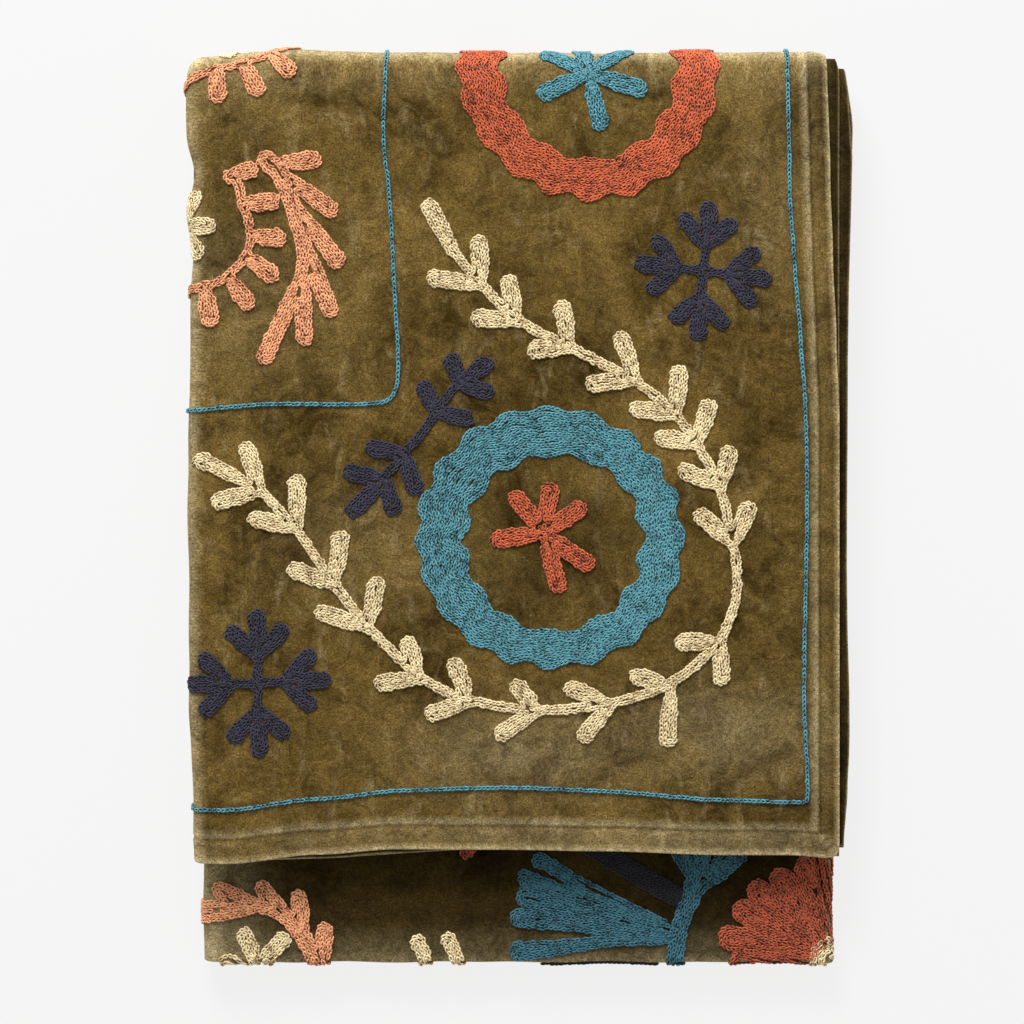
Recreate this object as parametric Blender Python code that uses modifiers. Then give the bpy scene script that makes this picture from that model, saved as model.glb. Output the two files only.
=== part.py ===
"""A velvet throw with its hems, folded four times into a flat stack that lies on a surface.

The cloth is cut flat, given its thickness, and then folded as a person folds it: the length in half,
the width in half twice, and the length in half again, which makes sixteen layers. The front panel ends
in the throw's own hems, and the panel behind it reaches further down and ends in a fold. Metres, +Z up,
+X to the right of the front panel, +Y from its bottom hem to its top fold, with the origin under the
middle of the stack.
"""

import math

import bmesh
import bpy
import numpy as np

# The cut cloth
THROW_WIDTH = 1.290
THROW_LENGTH = 1.708
CLOTH_THICKNESS = 0.0013
LAYER_GAP = 0.0007
HEM_WIDTH = 0.0125
HEM_SLOPE = 0.0015
HEM_SWELL = 1.15

# How far the folded edges stand from the front panel's two hems
LEFT_HEM_REACH = 0.0045
CENTRE_FOLD_INSET = 0.001
SECOND_HEM_REACH = 0.002
BACK_PANEL_REACH = 0.052

# The mesh: steps round each half turn, and the longest step on a flat stretch
STEPS_ROUND_FOLD = 6
FLAT_STEP = 0.050

# How the stack has settled: widths over which an edge's sway fades, and how much it is squeezed or puffed
SWAY_FADE = 0.11
HEM_FADE = 0.16
BACK_PANEL_SQUEEZE_LEFT = 0.006
BACK_PANEL_SQUEEZE_RIGHT = 0.0018
FOLD_PUFF = 0.05
HEM_DROP = 0.06
EDGE_REACH = 0.07
SOFT_WAVE = 0.012

# Each table runs along one edge: distance along it, then how far the edge is moved.
# The left fold of the front panel, from the bottom hem up; positive moves it to the right.
LEFT_FOLD_SWAY = {
    "up": (0.0, 0.02, 0.055, 0.08, 0.18, 0.23, 0.28, 0.305, 0.325, 0.343, 0.363, 0.395),
    "right": (0.0026, 0.002, 0.001, 0.0, -0.0005, 0.0, 0.001, 0.002, 0.0, 0.0022, -0.0012, -0.0012),
}
# The right hem of the front panel, from the bottom hem up; positive draws it to the left.
RIGHT_HEM_DRAW = {
    "up": (0.0, 0.22, 0.26, 0.30, 0.34, 0.40, 0.45),
    "left": (0.0, 0.0, 0.0015, 0.0032, 0.0045, 0.0062, 0.0065),
}
# The throw's left hem, which lies under the right one, from the bottom up; positive draws it to the left.
LEFT_HEM_DRAW = {
    "up": (0.0, 0.03, 0.06, 0.14, 0.26, 0.33, 0.37, 0.40, 0.60),
    "left": (0.002, 0.0, -0.001, 0.0005, 0.0, -0.0015, -0.0025, 0.001, 0.006),
}
# The bottom hem of the front panel, from the right hem leftwards; positive lifts it up the panel.
BOTTOM_HEM_LIFT = {
    "across": (0.0, 0.027, 0.057, 0.12, 0.17, 0.22, 0.26, 0.307, 0.318,
               0.325, 0.384, 0.43, 0.47, 0.51, 0.60, 0.645),
    "up": (0.0012, 0.003, 0.0031, 0.005, 0.0057, 0.0059, 0.0032, -0.0013, -0.0011,
           0.0012, 0.0035, 0.0061, 0.008, 0.009, 0.0062, 0.005),
}
# The throw's top hem, which lies under the bottom one; positive lifts it further up the panel.
TOP_HEM_LIFT = {
    "across": (0.0, 0.06, 0.13, 0.18, 0.22, 0.26, 0.30),
    "up": (0.003, 0.003, 0.0038, 0.0022, 0.0, 0.0, 0.0025),
}
# The top fold, from the right hem leftwards; negative draws it down the panel.
TOP_FOLD_SWAY = {
    "across": (-0.006, -0.0045, 0.0002, 0.0012, 0.0062, 0.0085, 0.0125,
               0.12, 0.20, 0.245, 0.267, 0.29, 0.307, 0.319, 0.324),
    "up": (-0.0065, -0.0047, -0.0045, -0.0018, -0.0016, -0.0008, 0.0,
           -0.0007, -0.0007, 0.0, 0.001, -0.0005, -0.002, -0.003, -0.004),
}
LEFT_HEM_CORNER_LIFT = 0.005

VELVET_COLOUR = (0.105, 0.066, 0.016, 1.0)
VELVET_ROUGHNESS = 0.95


def stack_depth(layers):
    """Depth of so many layers lying on each other, a little apart."""
    return layers * CLOTH_THICKNESS + (layers - 1) * LAYER_GAP


def bend_length(layers):
    """Length of cloth that the half turn of such a stack takes up, at its middle."""
    return math.pi * (LAYER_GAP + stack_depth(layers)) / 2


def outer_radius(layers):
    return LAYER_GAP / 2 + stack_depth(layers)


# Where each fold starts, measured from the throw's right hem and from its bottom hem
HALF_LENGTH_FOLD = (THROW_LENGTH - bend_length(1) - SECOND_HEM_REACH) / 2
HALF_WIDTH_FOLD = (THROW_WIDTH - bend_length(2) - LEFT_HEM_REACH) / 2
QUARTER_WIDTH_FOLD = (HALF_WIDTH_FOLD + outer_radius(2) + CENTRE_FOLD_INSET - bend_length(4)) / 2
QUARTER_LENGTH_FOLD = (HALF_LENGTH_FOLD + outer_radius(1) - BACK_PANEL_REACH - bend_length(8)) / 2


def along(table, here, there, distance):
    """Value of an edge's table at each distance, eased from row to row."""
    places = np.array(table[here])
    values = np.array(table[there])
    row = np.clip(np.searchsorted(places, distance) - 1, 0, len(places) - 2)
    share = np.clip((distance - places[row]) / (places[row + 1] - places[row]), 0, 1)
    return values[row] + (values[row + 1] - values[row]) * ease(share)


def ease(share):
    """0 to 1 with no kink at either end."""
    share = np.clip(share, 0, 1)
    return share * share * (3 - 2 * share)


def flat_lines(start, end):
    steps = max(2, math.ceil((end - start) / FLAT_STEP))
    return list(np.linspace(start, end, steps + 1))


def cut_lines(size, first_fold, first_layers, second_fold, second_layers):
    """Mesh lines across the cut cloth: hems, and even steps on the flats and round the three folds."""
    first_bend = bend_length(first_layers)
    second_bend = bend_length(second_layers)
    mirror = 2 * first_fold + first_bend
    folds = [
        (second_fold, second_fold + second_bend),
        (first_fold, first_fold + first_bend),
        (mirror - second_fold - second_bend, mirror - second_fold),
    ]
    lines = [0.0, HEM_WIDTH]
    reached = HEM_WIDTH + HEM_SLOPE
    for start, end in folds:
        lines += flat_lines(reached, start)
        lines += list(np.linspace(start, end, STEPS_ROUND_FOLD + 1)[1:-1])
        reached = end
    lines += flat_lines(reached, size - HEM_WIDTH - HEM_SLOPE)
    lines += [size - HEM_WIDTH, size]
    return np.array(lines)


def cut_cloth():
    """The throw lying flat, a slab with its right hem on the Y axis and its bottom hem on the X axis."""
    across = cut_lines(THROW_WIDTH, HALF_WIDTH_FOLD, 2, QUARTER_WIDTH_FOLD, 4)
    up = cut_lines(THROW_LENGTH, HALF_LENGTH_FOLD, 1, QUARTER_LENGTH_FOLD, 8)
    mesh = bpy.data.meshes.new("throw")
    sheet = bmesh.new()
    bmesh.ops.create_grid(sheet, x_segments=len(across) - 1, y_segments=len(up) - 1, size=0.5)
    for vertex in sheet.verts:
        column = round((0.5 - vertex.co.x) * (len(across) - 1))
        row = round((0.5 + vertex.co.y) * (len(up) - 1))
        vertex.co = (-across[column], up[row], 0.0)
    sheet.to_mesh(mesh)
    sheet.free()

    throw = bpy.data.objects.new("throw", mesh)
    bpy.context.scene.collection.objects.link(throw)
    thickness = throw.modifiers.new("thickness", "SOLIDIFY")
    thickness.thickness = CLOTH_THICKNESS
    thickness.offset = -1.0
    graph = bpy.context.evaluated_depsgraph_get()
    slab = bpy.data.meshes.new_from_object(throw.evaluated_get(graph))
    throw.modifiers.remove(thickness)
    throw.data = slab
    bpy.data.meshes.remove(mesh)
    slab.name = "throw"
    return throw


def swell_hems(points):
    """The hem is cloth turned to the back, so the edge band is thicker on that side."""
    from_edge = np.minimum.reduce([
        -points[:, 0], THROW_WIDTH + points[:, 0], points[:, 1], THROW_LENGTH - points[:, 1],
    ])
    swell = np.where(from_edge < HEM_WIDTH + HEM_SLOPE / 2, HEM_SWELL, 1.0)
    points[:, 2] *= swell


def draw_hems(points):
    """Hems are never quite straight once folded: each edge is drawn in or lifted before the folding."""
    from_right = -points[:, 0].copy()
    from_left = THROW_WIDTH - from_right
    from_bottom = points[:, 1].copy()
    on_front_half = from_bottom < THROW_LENGTH / 2

    right_share = ease(1 - from_right / HEM_FADE) * on_front_half
    points[:, 0] -= right_share * along(RIGHT_HEM_DRAW, "up", "left", from_bottom)
    left_share = ease(1 - from_left / HEM_FADE)
    from_any_end = np.minimum(from_bottom, THROW_LENGTH - from_bottom)
    points[:, 0] += left_share * along(LEFT_HEM_DRAW, "up", "left", from_any_end)

    across = np.minimum(from_right, from_left)
    bottom_share = ease(1 - from_any_end / HEM_FADE)
    lift = along(BOTTOM_HEM_LIFT, "across", "up", across)
    lift = lift + ~on_front_half * along(TOP_HEM_LIFT, "across", "up", across)
    corner = LEFT_HEM_CORNER_LIFT * ease(1 - from_left / EDGE_REACH)
    upward = np.where(on_front_half, 1.0, -1.0)
    points[:, 1] += upward * bottom_share * (lift + corner)


def fold_under(points, axis, sign, line, layers):
    """Bends the stack back under itself in a half turn from the line on, and lays the rest flat below."""
    centre = -stack_depth(layers) - LAYER_GAP / 2
    bend = bend_length(layers)
    run = sign * points[:, axis]
    radius = points[:, 2] - centre
    turn = np.clip((run - line) / bend, 0, 1) * math.pi
    past = np.maximum(run - line - bend, 0)
    points[:, axis] = sign * (np.minimum(run, line) + radius * np.sin(turn) - past)
    points[:, 2] = centre + radius * np.cos(turn)


def fold(points):
    """The four folds, in order. Afterwards the stack stands on Z = 0."""
    fold_under(points, axis=1, sign=1, line=HALF_LENGTH_FOLD, layers=1)
    fold_under(points, axis=0, sign=-1, line=HALF_WIDTH_FOLD, layers=2)
    fold_under(points, axis=0, sign=-1, line=QUARTER_WIDTH_FOLD, layers=4)
    fold_under(points, axis=1, sign=1, line=QUARTER_LENGTH_FOLD, layers=8)
    points[:, 2] += stack_depth(16)


def settle(points):
    """The folded stack under its own weight: edges that sway, folds that puff and hems that lie lower."""
    from_right = -points[:, 0].copy()
    from_bottom = points[:, 1].copy()
    height = points[:, 2].copy()
    left_end = QUARTER_WIDTH_FOLD + outer_radius(4)
    top_end = QUARTER_LENGTH_FOLD + outer_radius(8)
    back_panel = ease(1 - (height / stack_depth(16) - 0.38) / 0.2)

    near_left = ease(1 - (left_end - from_right) / SWAY_FADE)
    near_right = ease(1 - from_right / SWAY_FADE)
    near_top = ease(1 - (top_end - from_bottom) / SWAY_FADE)
    sway = along(LEFT_FOLD_SWAY, "up", "right", from_bottom) * (1 - back_panel)
    squeeze = back_panel * (1 - near_top)
    points[:, 0] += near_left * (sway + squeeze * BACK_PANEL_SQUEEZE_LEFT)
    points[:, 0] -= near_right * squeeze * BACK_PANEL_SQUEEZE_RIGHT
    points[:, 1] += near_top * along(TOP_FOLD_SWAY, "across", "up", from_right)

    puff = FOLD_PUFF * ease(1 - (left_end - from_right) / EDGE_REACH)
    puff = puff + FOLD_PUFF * ease(1 - (top_end - from_bottom) / EDGE_REACH)
    drop = HEM_DROP * ease(1 - from_right / EDGE_REACH)
    wave = np.sin(17 * from_right + 9 * from_bottom) + np.sin(23 * from_bottom - 11 * from_right + 1)
    points[:, 2] *= 1 + puff - drop + SOFT_WAVE * wave


def stand_on_origin(points):
    """Puts the middle of the stack over the origin."""
    for axis in (0, 1):
        points[:, axis] -= (points[:, axis].min() + points[:, axis].max()) / 2


def velvet():
    material = bpy.data.materials.new("velvet")
    material.use_nodes = True
    shader = material.node_tree.nodes["Principled BSDF"]
    shader.inputs["Base Color"].default_value = VELVET_COLOUR
    shader.inputs["Roughness"].default_value = VELVET_ROUGHNESS
    shader.inputs["Metallic"].default_value = 0.0
    material.diffuse_color = VELVET_COLOUR
    return material


def build():
    for old in list(bpy.data.objects):
        bpy.data.objects.remove(old)
    throw = cut_cloth()
    mesh = throw.data
    points = np.empty(len(mesh.vertices) * 3)
    mesh.vertices.foreach_get("co", points)
    points = points.reshape(-1, 3)
    swell_hems(points)
    draw_hems(points)
    fold(points)
    settle(points)
    stand_on_origin(points)
    mesh.vertices.foreach_set("co", points.ravel())
    mesh.update()
    mesh.shade_smooth()
    mesh.materials.append(velvet())

    pieces = bpy.data.collections.new("folded_throw")
    bpy.context.scene.collection.children.link(pieces)
    bpy.context.scene.collection.objects.unlink(throw)
    pieces.objects.link(throw)


build()
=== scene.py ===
"""A velvet throw with chain stitch suzani embroidery, folded and photographed from straight above."""

import math
from functools import partial

import bmesh
import bpy
import numpy as np
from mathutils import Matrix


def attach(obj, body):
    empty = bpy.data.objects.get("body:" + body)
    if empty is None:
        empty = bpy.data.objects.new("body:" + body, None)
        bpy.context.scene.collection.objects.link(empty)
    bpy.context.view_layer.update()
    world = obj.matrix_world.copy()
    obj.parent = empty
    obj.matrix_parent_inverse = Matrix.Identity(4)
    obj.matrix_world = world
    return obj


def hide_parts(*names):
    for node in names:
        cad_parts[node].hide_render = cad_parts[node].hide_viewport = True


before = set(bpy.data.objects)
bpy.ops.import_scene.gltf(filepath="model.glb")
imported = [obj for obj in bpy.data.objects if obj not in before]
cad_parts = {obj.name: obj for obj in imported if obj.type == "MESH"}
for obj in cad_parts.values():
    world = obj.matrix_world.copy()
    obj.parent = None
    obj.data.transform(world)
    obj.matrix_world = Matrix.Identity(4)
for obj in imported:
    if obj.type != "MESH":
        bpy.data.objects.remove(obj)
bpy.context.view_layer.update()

# The throw is one cut of cotton velvet with a narrow hem turned to the back on all four sides. It is folded
# in half along its length, in half twice across its width and in half along its length again, so that
# sixteen layers lie on each other and the panel behind shows below the front panel's bottom hem.
THROW_WIDTH = 1.290
THROW_LENGTH = 1.708
CLOTH_THICKNESS = 0.0013
LAYER_GAP = 0.0007
LEFT_HEM_REACH = 0.0045
CENTRE_FOLD_INSET = 0.001
SECOND_HEM_REACH = 0.002
BACK_PANEL_REACH = 0.052
SWAY_FADE = 0.11
HEM_FADE = 0.16
BACK_PANEL_SQUEEZE_LEFT = 0.006
BACK_PANEL_SQUEEZE_RIGHT = 0.0018
FOLD_PUFF = 0.05
HEM_DROP = 0.06
EDGE_REACH = 0.07
SOFT_WAVE = 0.012
# Each table runs along one edge: distance along it, then how far the edge is moved.
LEFT_FOLD_SWAY = (
    (0.0, 0.02, 0.055, 0.08, 0.18, 0.23, 0.28, 0.305, 0.325, 0.343, 0.363, 0.395),
    (0.0026, 0.002, 0.001, 0.0, -0.0005, 0.0, 0.001, 0.002, 0.0, 0.0022, -0.0012, -0.0012),
)
RIGHT_HEM_DRAW = (
    (0.0, 0.22, 0.26, 0.30, 0.34, 0.40, 0.45),
    (0.0, 0.0, 0.0015, 0.0032, 0.0045, 0.0062, 0.0065),
)
LEFT_HEM_DRAW = (
    (0.0, 0.03, 0.06, 0.14, 0.26, 0.33, 0.37, 0.40, 0.60),
    (0.002, 0.0, -0.001, 0.0005, 0.0, -0.0015, -0.0025, 0.001, 0.006),
)
BOTTOM_HEM_LIFT = (
    (0.0, 0.027, 0.057, 0.12, 0.17, 0.22, 0.26, 0.307, 0.318,
     0.325, 0.384, 0.43, 0.47, 0.51, 0.60, 0.645),
    (0.0012, 0.003, 0.0031, 0.005, 0.0057, 0.0059, 0.0032, -0.0013, -0.0011,
     0.0012, 0.0035, 0.0061, 0.008, 0.009, 0.0062, 0.005),
)
TOP_HEM_LIFT = (
    (0.0, 0.06, 0.13, 0.18, 0.22, 0.26, 0.30),
    (0.003, 0.003, 0.0038, 0.0022, 0.0, 0.0, 0.0025),
)
TOP_FOLD_SWAY = (
    (-0.006, -0.0045, 0.0002, 0.0012, 0.0062, 0.0085, 0.0125,
     0.12, 0.20, 0.245, 0.267, 0.29, 0.307, 0.319, 0.324),
    (-0.0065, -0.0047, -0.0045, -0.0018, -0.0016, -0.0008, 0.0,
     -0.0007, -0.0007, 0.0, 0.001, -0.0005, -0.002, -0.003, -0.004),
)
LEFT_HEM_CORNER_LIFT = 0.005
# Up to this share of its height the stack counts as the panel behind, and that ends over the next share.
BACK_PANEL_SHARE = 0.38
BACK_PANEL_FADE = 0.2

HEM_WIDTH = 0.0125
HEM_BULGE_FRONT = 0.00015
HEM_BULGE_BACK = 0.0003
HEM_ROUNDING = 0.0009
HEM_PUCKER = 0.00022
SIDE_HEM_SHARE = 0.84
SEAM_AT = 0.0118
SEAM_DEPTH = 0.0008
SEAM_HALF_WIDTH = 0.0009
RIPPLE = 0.0004
RIPPLE_FADE = 0.03
# Creases that handling has left: start, end, depth and half width, in mm on the flat cloth.
CREASES = (
    ((634.5, 800), (640, 846), 1.5, 1.3),
    ((9, 150), (11, 330), 0.35, 2.2),
    ((26, 250), (24, 392), 0.3, 3.0),
    ((300, 372), (286, 330), 0.5, 5.0),
    ((62, 40), (98, 62), 0.4, 3.5),
    ((118, 44), (92, 33), 0.3, 3.0),
    ((312, 236), (296, 150), 0.4, 4.5),
    ((1, 1), (11.5, 11.5), -0.35, 0.7),
)
CORNER_ROUNDING = 0.0014
CORNER_REACH = 0.006


def stack_depth(layers):
    """Depth of so many layers lying on each other, a little apart."""
    return layers * CLOTH_THICKNESS + (layers - 1) * LAYER_GAP


def bend_length(layers):
    """Length of cloth that the half turn of such a stack takes up, at its middle."""
    return math.pi * (LAYER_GAP + stack_depth(layers)) / 2


def outer_radius(layers):
    return LAYER_GAP / 2 + stack_depth(layers)


HALF_LENGTH_FOLD = (THROW_LENGTH - bend_length(1) - SECOND_HEM_REACH) / 2
HALF_WIDTH_FOLD = (THROW_WIDTH - bend_length(2) - LEFT_HEM_REACH) / 2
QUARTER_WIDTH_FOLD = (HALF_WIDTH_FOLD + outer_radius(2) + CENTRE_FOLD_INSET - bend_length(4)) / 2
QUARTER_LENGTH_FOLD = (HALF_LENGTH_FOLD + outer_radius(1) - BACK_PANEL_REACH - bend_length(8)) / 2


def ease(share):
    """0 to 1 with no kink at either end."""
    share = np.clip(share, 0, 1)
    return share * share * (3 - 2 * share)


def along(table, distance):
    """Value of an edge's table at each distance, eased from row to row."""
    places, values = np.array(table)
    row = np.clip(np.searchsorted(places, distance) - 1, 0, len(places) - 2)
    share = np.clip((distance - places[row]) / (places[row + 1] - places[row]), 0, 1)
    return values[row] + (values[row + 1] - values[row]) * ease(share)


def from_edges(points):
    """Distance of each place on the flat cloth from its nearest hem; the side hems are turned narrower."""
    return np.minimum.reduce([
        -points[:, 0] / SIDE_HEM_SHARE, (THROW_WIDTH + points[:, 0]) / SIDE_HEM_SHARE,
        points[:, 1], THROW_LENGTH - points[:, 1],
    ])


def dent_cloth(points):
    """The seam pulls the hem's edge down in a groove, with small puckers, and the cloth beyond it ripples."""
    across = -points[:, 0]
    up = points[:, 1]
    edge = from_edges(points)
    groove = np.exp(-((edge - SEAM_AT) / SEAM_HALF_WIDTH) ** 2)
    shoulder = np.exp(-((edge - SEAM_AT) / (4 * SEAM_HALF_WIDTH)) ** 2)
    run = np.where(np.minimum(across, THROW_WIDTH - across) < HEM_WIDTH, up, across)
    pucker = np.sin(run * 410) * np.sin(run * 131 + 1.0) * shoulder
    ripple = np.sin(across * 118 + 2 * np.sin(up * 31)) * np.sin(up * 92 + 2 * np.sin(across * 27))
    points[:, 2] += HEM_PUCKER * pucker + RIPPLE * ripple * ease(edge / RIPPLE_FADE)
    points[:, 2] -= SEAM_DEPTH * groove - 0.3 * SEAM_DEPTH * shoulder
    place = np.stack([across, up], axis=1) * 1000
    for start, end, depth, half_width in CREASES:
        ahead = np.subtract(end, start)
        share = np.clip((place - start) @ ahead / (ahead @ ahead), 0, 1)
        aside = np.linalg.norm(place - start - share[:, None] * ahead, axis=1)
        points[:, 2] -= depth / 1000 * np.exp(-(aside / half_width) ** 2)
    at_corner = CORNER_ROUNDING * np.maximum(1 - (across + up) / CORNER_REACH, 0)
    points[:, 0] -= at_corner
    points[:, 1] += at_corner


def draw_hems(points):
    """Hems are never quite straight once folded: each edge is drawn in or lifted before the folding."""
    from_right = -points[:, 0].copy()
    from_left = THROW_WIDTH - from_right
    from_bottom = points[:, 1].copy()
    on_front_half = from_bottom < THROW_LENGTH / 2

    right_share = ease(1 - from_right / HEM_FADE) * on_front_half
    points[:, 0] -= right_share * along(RIGHT_HEM_DRAW, from_bottom)
    left_share = ease(1 - from_left / HEM_FADE)
    from_any_end = np.minimum(from_bottom, THROW_LENGTH - from_bottom)
    points[:, 0] += left_share * along(LEFT_HEM_DRAW, from_any_end)

    across = np.minimum(from_right, from_left)
    bottom_share = ease(1 - from_any_end / HEM_FADE)
    lift = along(BOTTOM_HEM_LIFT, across)
    lift = lift + ~on_front_half * along(TOP_HEM_LIFT, across)
    corner = LEFT_HEM_CORNER_LIFT * ease(1 - from_left / EDGE_REACH)
    upward = np.where(on_front_half, 1.0, -1.0)
    points[:, 1] += upward * bottom_share * (lift + corner)


def fold_under(points, axis, sign, line, layers):
    """Bends the stack back under itself in a half turn from the line on, and lays the rest flat below."""
    centre = -stack_depth(layers) - LAYER_GAP / 2
    bend = bend_length(layers)
    run = sign * points[:, axis]
    radius = points[:, 2] - centre
    turn = np.clip((run - line) / bend, 0, 1) * math.pi
    past = np.maximum(run - line - bend, 0)
    points[:, axis] = sign * (np.minimum(run, line) + radius * np.sin(turn) - past)
    points[:, 2] = centre + radius * np.cos(turn)


def fold(points):
    """The four folds, in order. Afterwards the stack stands on Z = 0."""
    fold_under(points, axis=1, sign=1, line=HALF_LENGTH_FOLD, layers=1)
    fold_under(points, axis=0, sign=-1, line=HALF_WIDTH_FOLD, layers=2)
    fold_under(points, axis=0, sign=-1, line=QUARTER_WIDTH_FOLD, layers=4)
    fold_under(points, axis=1, sign=1, line=QUARTER_LENGTH_FOLD, layers=8)
    points[:, 2] += stack_depth(16)


def settle(points):
    """The folded stack under its own weight: edges that sway, folds that puff and hems that lie lower."""
    from_right = -points[:, 0].copy()
    from_bottom = points[:, 1].copy()
    height = points[:, 2].copy()
    left_end = QUARTER_WIDTH_FOLD + outer_radius(4)
    top_end = QUARTER_LENGTH_FOLD + outer_radius(8)
    back_panel = ease(1 - (height / stack_depth(16) - BACK_PANEL_SHARE) / BACK_PANEL_FADE)

    near_left = ease(1 - (left_end - from_right) / SWAY_FADE)
    near_right = ease(1 - from_right / SWAY_FADE)
    near_top = ease(1 - (top_end - from_bottom) / SWAY_FADE)
    sway = along(LEFT_FOLD_SWAY, from_bottom) * (1 - back_panel)
    squeeze = back_panel * (1 - near_top)
    points[:, 0] += near_left * (sway + squeeze * BACK_PANEL_SQUEEZE_LEFT)
    points[:, 0] -= near_right * squeeze * BACK_PANEL_SQUEEZE_RIGHT
    points[:, 1] += near_top * along(TOP_FOLD_SWAY, from_right)

    puff = FOLD_PUFF * ease(1 - (left_end - from_right) / EDGE_REACH)
    puff = puff + FOLD_PUFF * ease(1 - (top_end - from_bottom) / EDGE_REACH)
    drop = HEM_DROP * ease(1 - from_right / EDGE_REACH)
    wave = np.sin(17 * from_right + 9 * from_bottom) + np.sin(23 * from_bottom - 11 * from_right + 1)
    points[:, 2] *= 1 + puff - drop + SOFT_WAVE * wave


def lay(flat):
    """Where places on the flat cloth lie in the folded stack, before it is set over the origin."""
    points = flat.copy()
    dent_cloth(points)
    draw_hems(points)
    fold(points)
    settle(points)
    return points


def steps(start, end, longest):
    return list(np.linspace(start, end, max(2, math.ceil((end - start) / longest)) + 1))


# Where the mesh has lines across the hem: close at its rounded edge and at its seam.
HEM_LINES = [0.0, 0.00012, 0.00035, 0.0008, 0.0016, 0.004, 0.0075, 0.0102, 0.0112, 0.0118, 0.0124, 0.0134]


def cut_lines(size, hem_share, first_fold, first_layers, second_fold, second_layers, finenesses):
    """Mesh lines across the cut cloth: hems, flats of the given fineness, and even steps round the folds."""
    first_bend = bend_length(first_layers)
    second_bend = bend_length(second_layers)
    mirror = 2 * first_fold + first_bend
    folds = [
        (second_fold, second_fold + second_bend, 16),
        (first_fold, first_fold + first_bend, 8),
        (mirror - second_fold - second_bend, mirror - second_fold, 16),
    ]
    hem = [line * hem_share for line in HEM_LINES]
    lines = hem[:-1]
    reached = hem[-1]
    for (start, end, turns), fineness in zip(folds, finenesses):
        lines = lines + fineness(reached, start)
        lines = lines + list(np.linspace(start, end, turns + 1)[1:-1])
        reached = end
    lines = lines + finenesses[-1](reached, size - hem[-1])
    return np.array(lines + [size - line for line in reversed(hem[:-1])])


fine = partial(steps, longest=0.0042)
middling = partial(steps, longest=0.007)
coarse = partial(steps, longest=0.035)


def fine_at_end(start, end):
    """Coarse where the panel behind is hidden, and fine on the strip of it that shows."""
    shows_from = end - BACK_PANEL_REACH - 0.012
    return coarse(start, shows_from) + fine(shows_from, end)[1:]


def fine_to_crease(start, end):
    """Finest beside the centre fold, where the panel behind has a crease."""
    return middling(start, end - 0.010) + steps(end - 0.010, end, 0.0009)[1:]


columns = cut_lines(
    THROW_WIDTH, SIDE_HEM_SHARE, HALF_WIDTH_FOLD, 2, QUARTER_WIDTH_FOLD, 4,
    (fine, fine_to_crease, coarse, coarse))
rows = cut_lines(
    THROW_LENGTH, 1.0, HALF_LENGTH_FOLD, 1, QUARTER_LENGTH_FOLD, 8,
    (fine, fine_at_end, coarse, coarse))


def grid_mesh(name, cells_across, cells_up, half_size):
    mesh = bpy.data.meshes.new(name)
    grid = bmesh.new()
    bmesh.ops.create_grid(grid, x_segments=cells_across, y_segments=cells_up, size=half_size)
    grid.to_mesh(mesh)
    grid.free()
    return mesh


def new_object(name, data):
    thing = bpy.data.objects.new(name, data)
    bpy.context.scene.collection.objects.link(thing)
    return thing


def made_plain(piece, modifier):
    """Puts what the modifier makes in place of the piece's own mesh, and takes the modifier off."""
    before = piece.data
    graph = bpy.context.evaluated_depsgraph_get()
    made = bpy.data.meshes.new_from_object(piece.evaluated_get(graph))
    piece.modifiers.remove(modifier)
    piece.data = made
    bpy.data.meshes.remove(before)
    made.name = piece.name
    return made


throw = new_object("velvet_throw", grid_mesh("velvet_throw", len(columns) - 1, len(rows) - 1, 0.5))
thickness = throw.modifiers.new("thickness", "SOLIDIFY")
thickness.thickness = CLOTH_THICKNESS
thickness.offset = -1.0
slab = made_plain(throw, thickness)

places = np.empty(len(slab.vertices) * 3)
slab.vertices.foreach_get("co", places)
places = places.reshape(-1, 3)
column = np.rint((0.5 - places[:, 0]) * (len(columns) - 1)).astype(int)
row = np.rint((places[:, 1] + 0.5) * (len(rows) - 1)).astype(int)
on_face = places[:, 2] > -CLOTH_THICKNESS / 2
flat = np.stack([-columns[column], rows[row], np.zeros(len(column))], axis=1)

# The edge is rounded by thinning the cloth towards it, and the hem band is thicker than the rest.
edge = from_edges(flat)
in_hem = ease((SEAM_AT + 0.0006 - edge) / 0.0012)
thinnest = 0.12
roundness = np.maximum(np.sqrt(1 - (1 - np.clip(edge / HEM_ROUNDING, 0, 1)) ** 2), thinnest)
half = CLOTH_THICKNESS / 2
face_height = half + (HEM_BULGE_FRONT * in_hem + half) * roundness - CLOTH_THICKNESS
back_height = -half - (HEM_BULGE_BACK * in_hem + half) * roundness
flat[:, 2] = np.where(on_face, face_height, back_height)

laid = lay(flat)
middle = (laid.min(axis=0) + laid.max(axis=0)) / 2
middle[2] = 0.0
laid -= middle
laid[:, 2] = np.maximum(laid[:, 2], 0.0)
slab.vertices.foreach_set("co", laid.ravel())
slab.update()
slab.shade_smooth()

corner_vertex = np.empty(len(slab.loops), dtype=int)
slab.loops.foreach_get("vertex_index", corner_vertex)
cloth_map = slab.uv_layers.new(name="cloth", do_init=False)
cloth_map.uv.foreach_set("vector", np.stack([-flat[:, 0], flat[:, 1]], axis=1)[corner_vertex].ravel())

# How light the velvet stays against its darker copy: 1 on the front panel, less on the panel behind and at
# the folds beside it, whose nap runs the other way and which take painted shade for the front panel's shadow.
# It is also darker within the teal ring and along a line inside the hem, and painted shade darkens the seam's
# groove.
across, up = -flat[:, 0], flat[:, 1]


def near(distance, width):
    """1 at no distance, and next to nothing at twice the width."""
    return np.exp(-(distance / width) ** 2)


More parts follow.
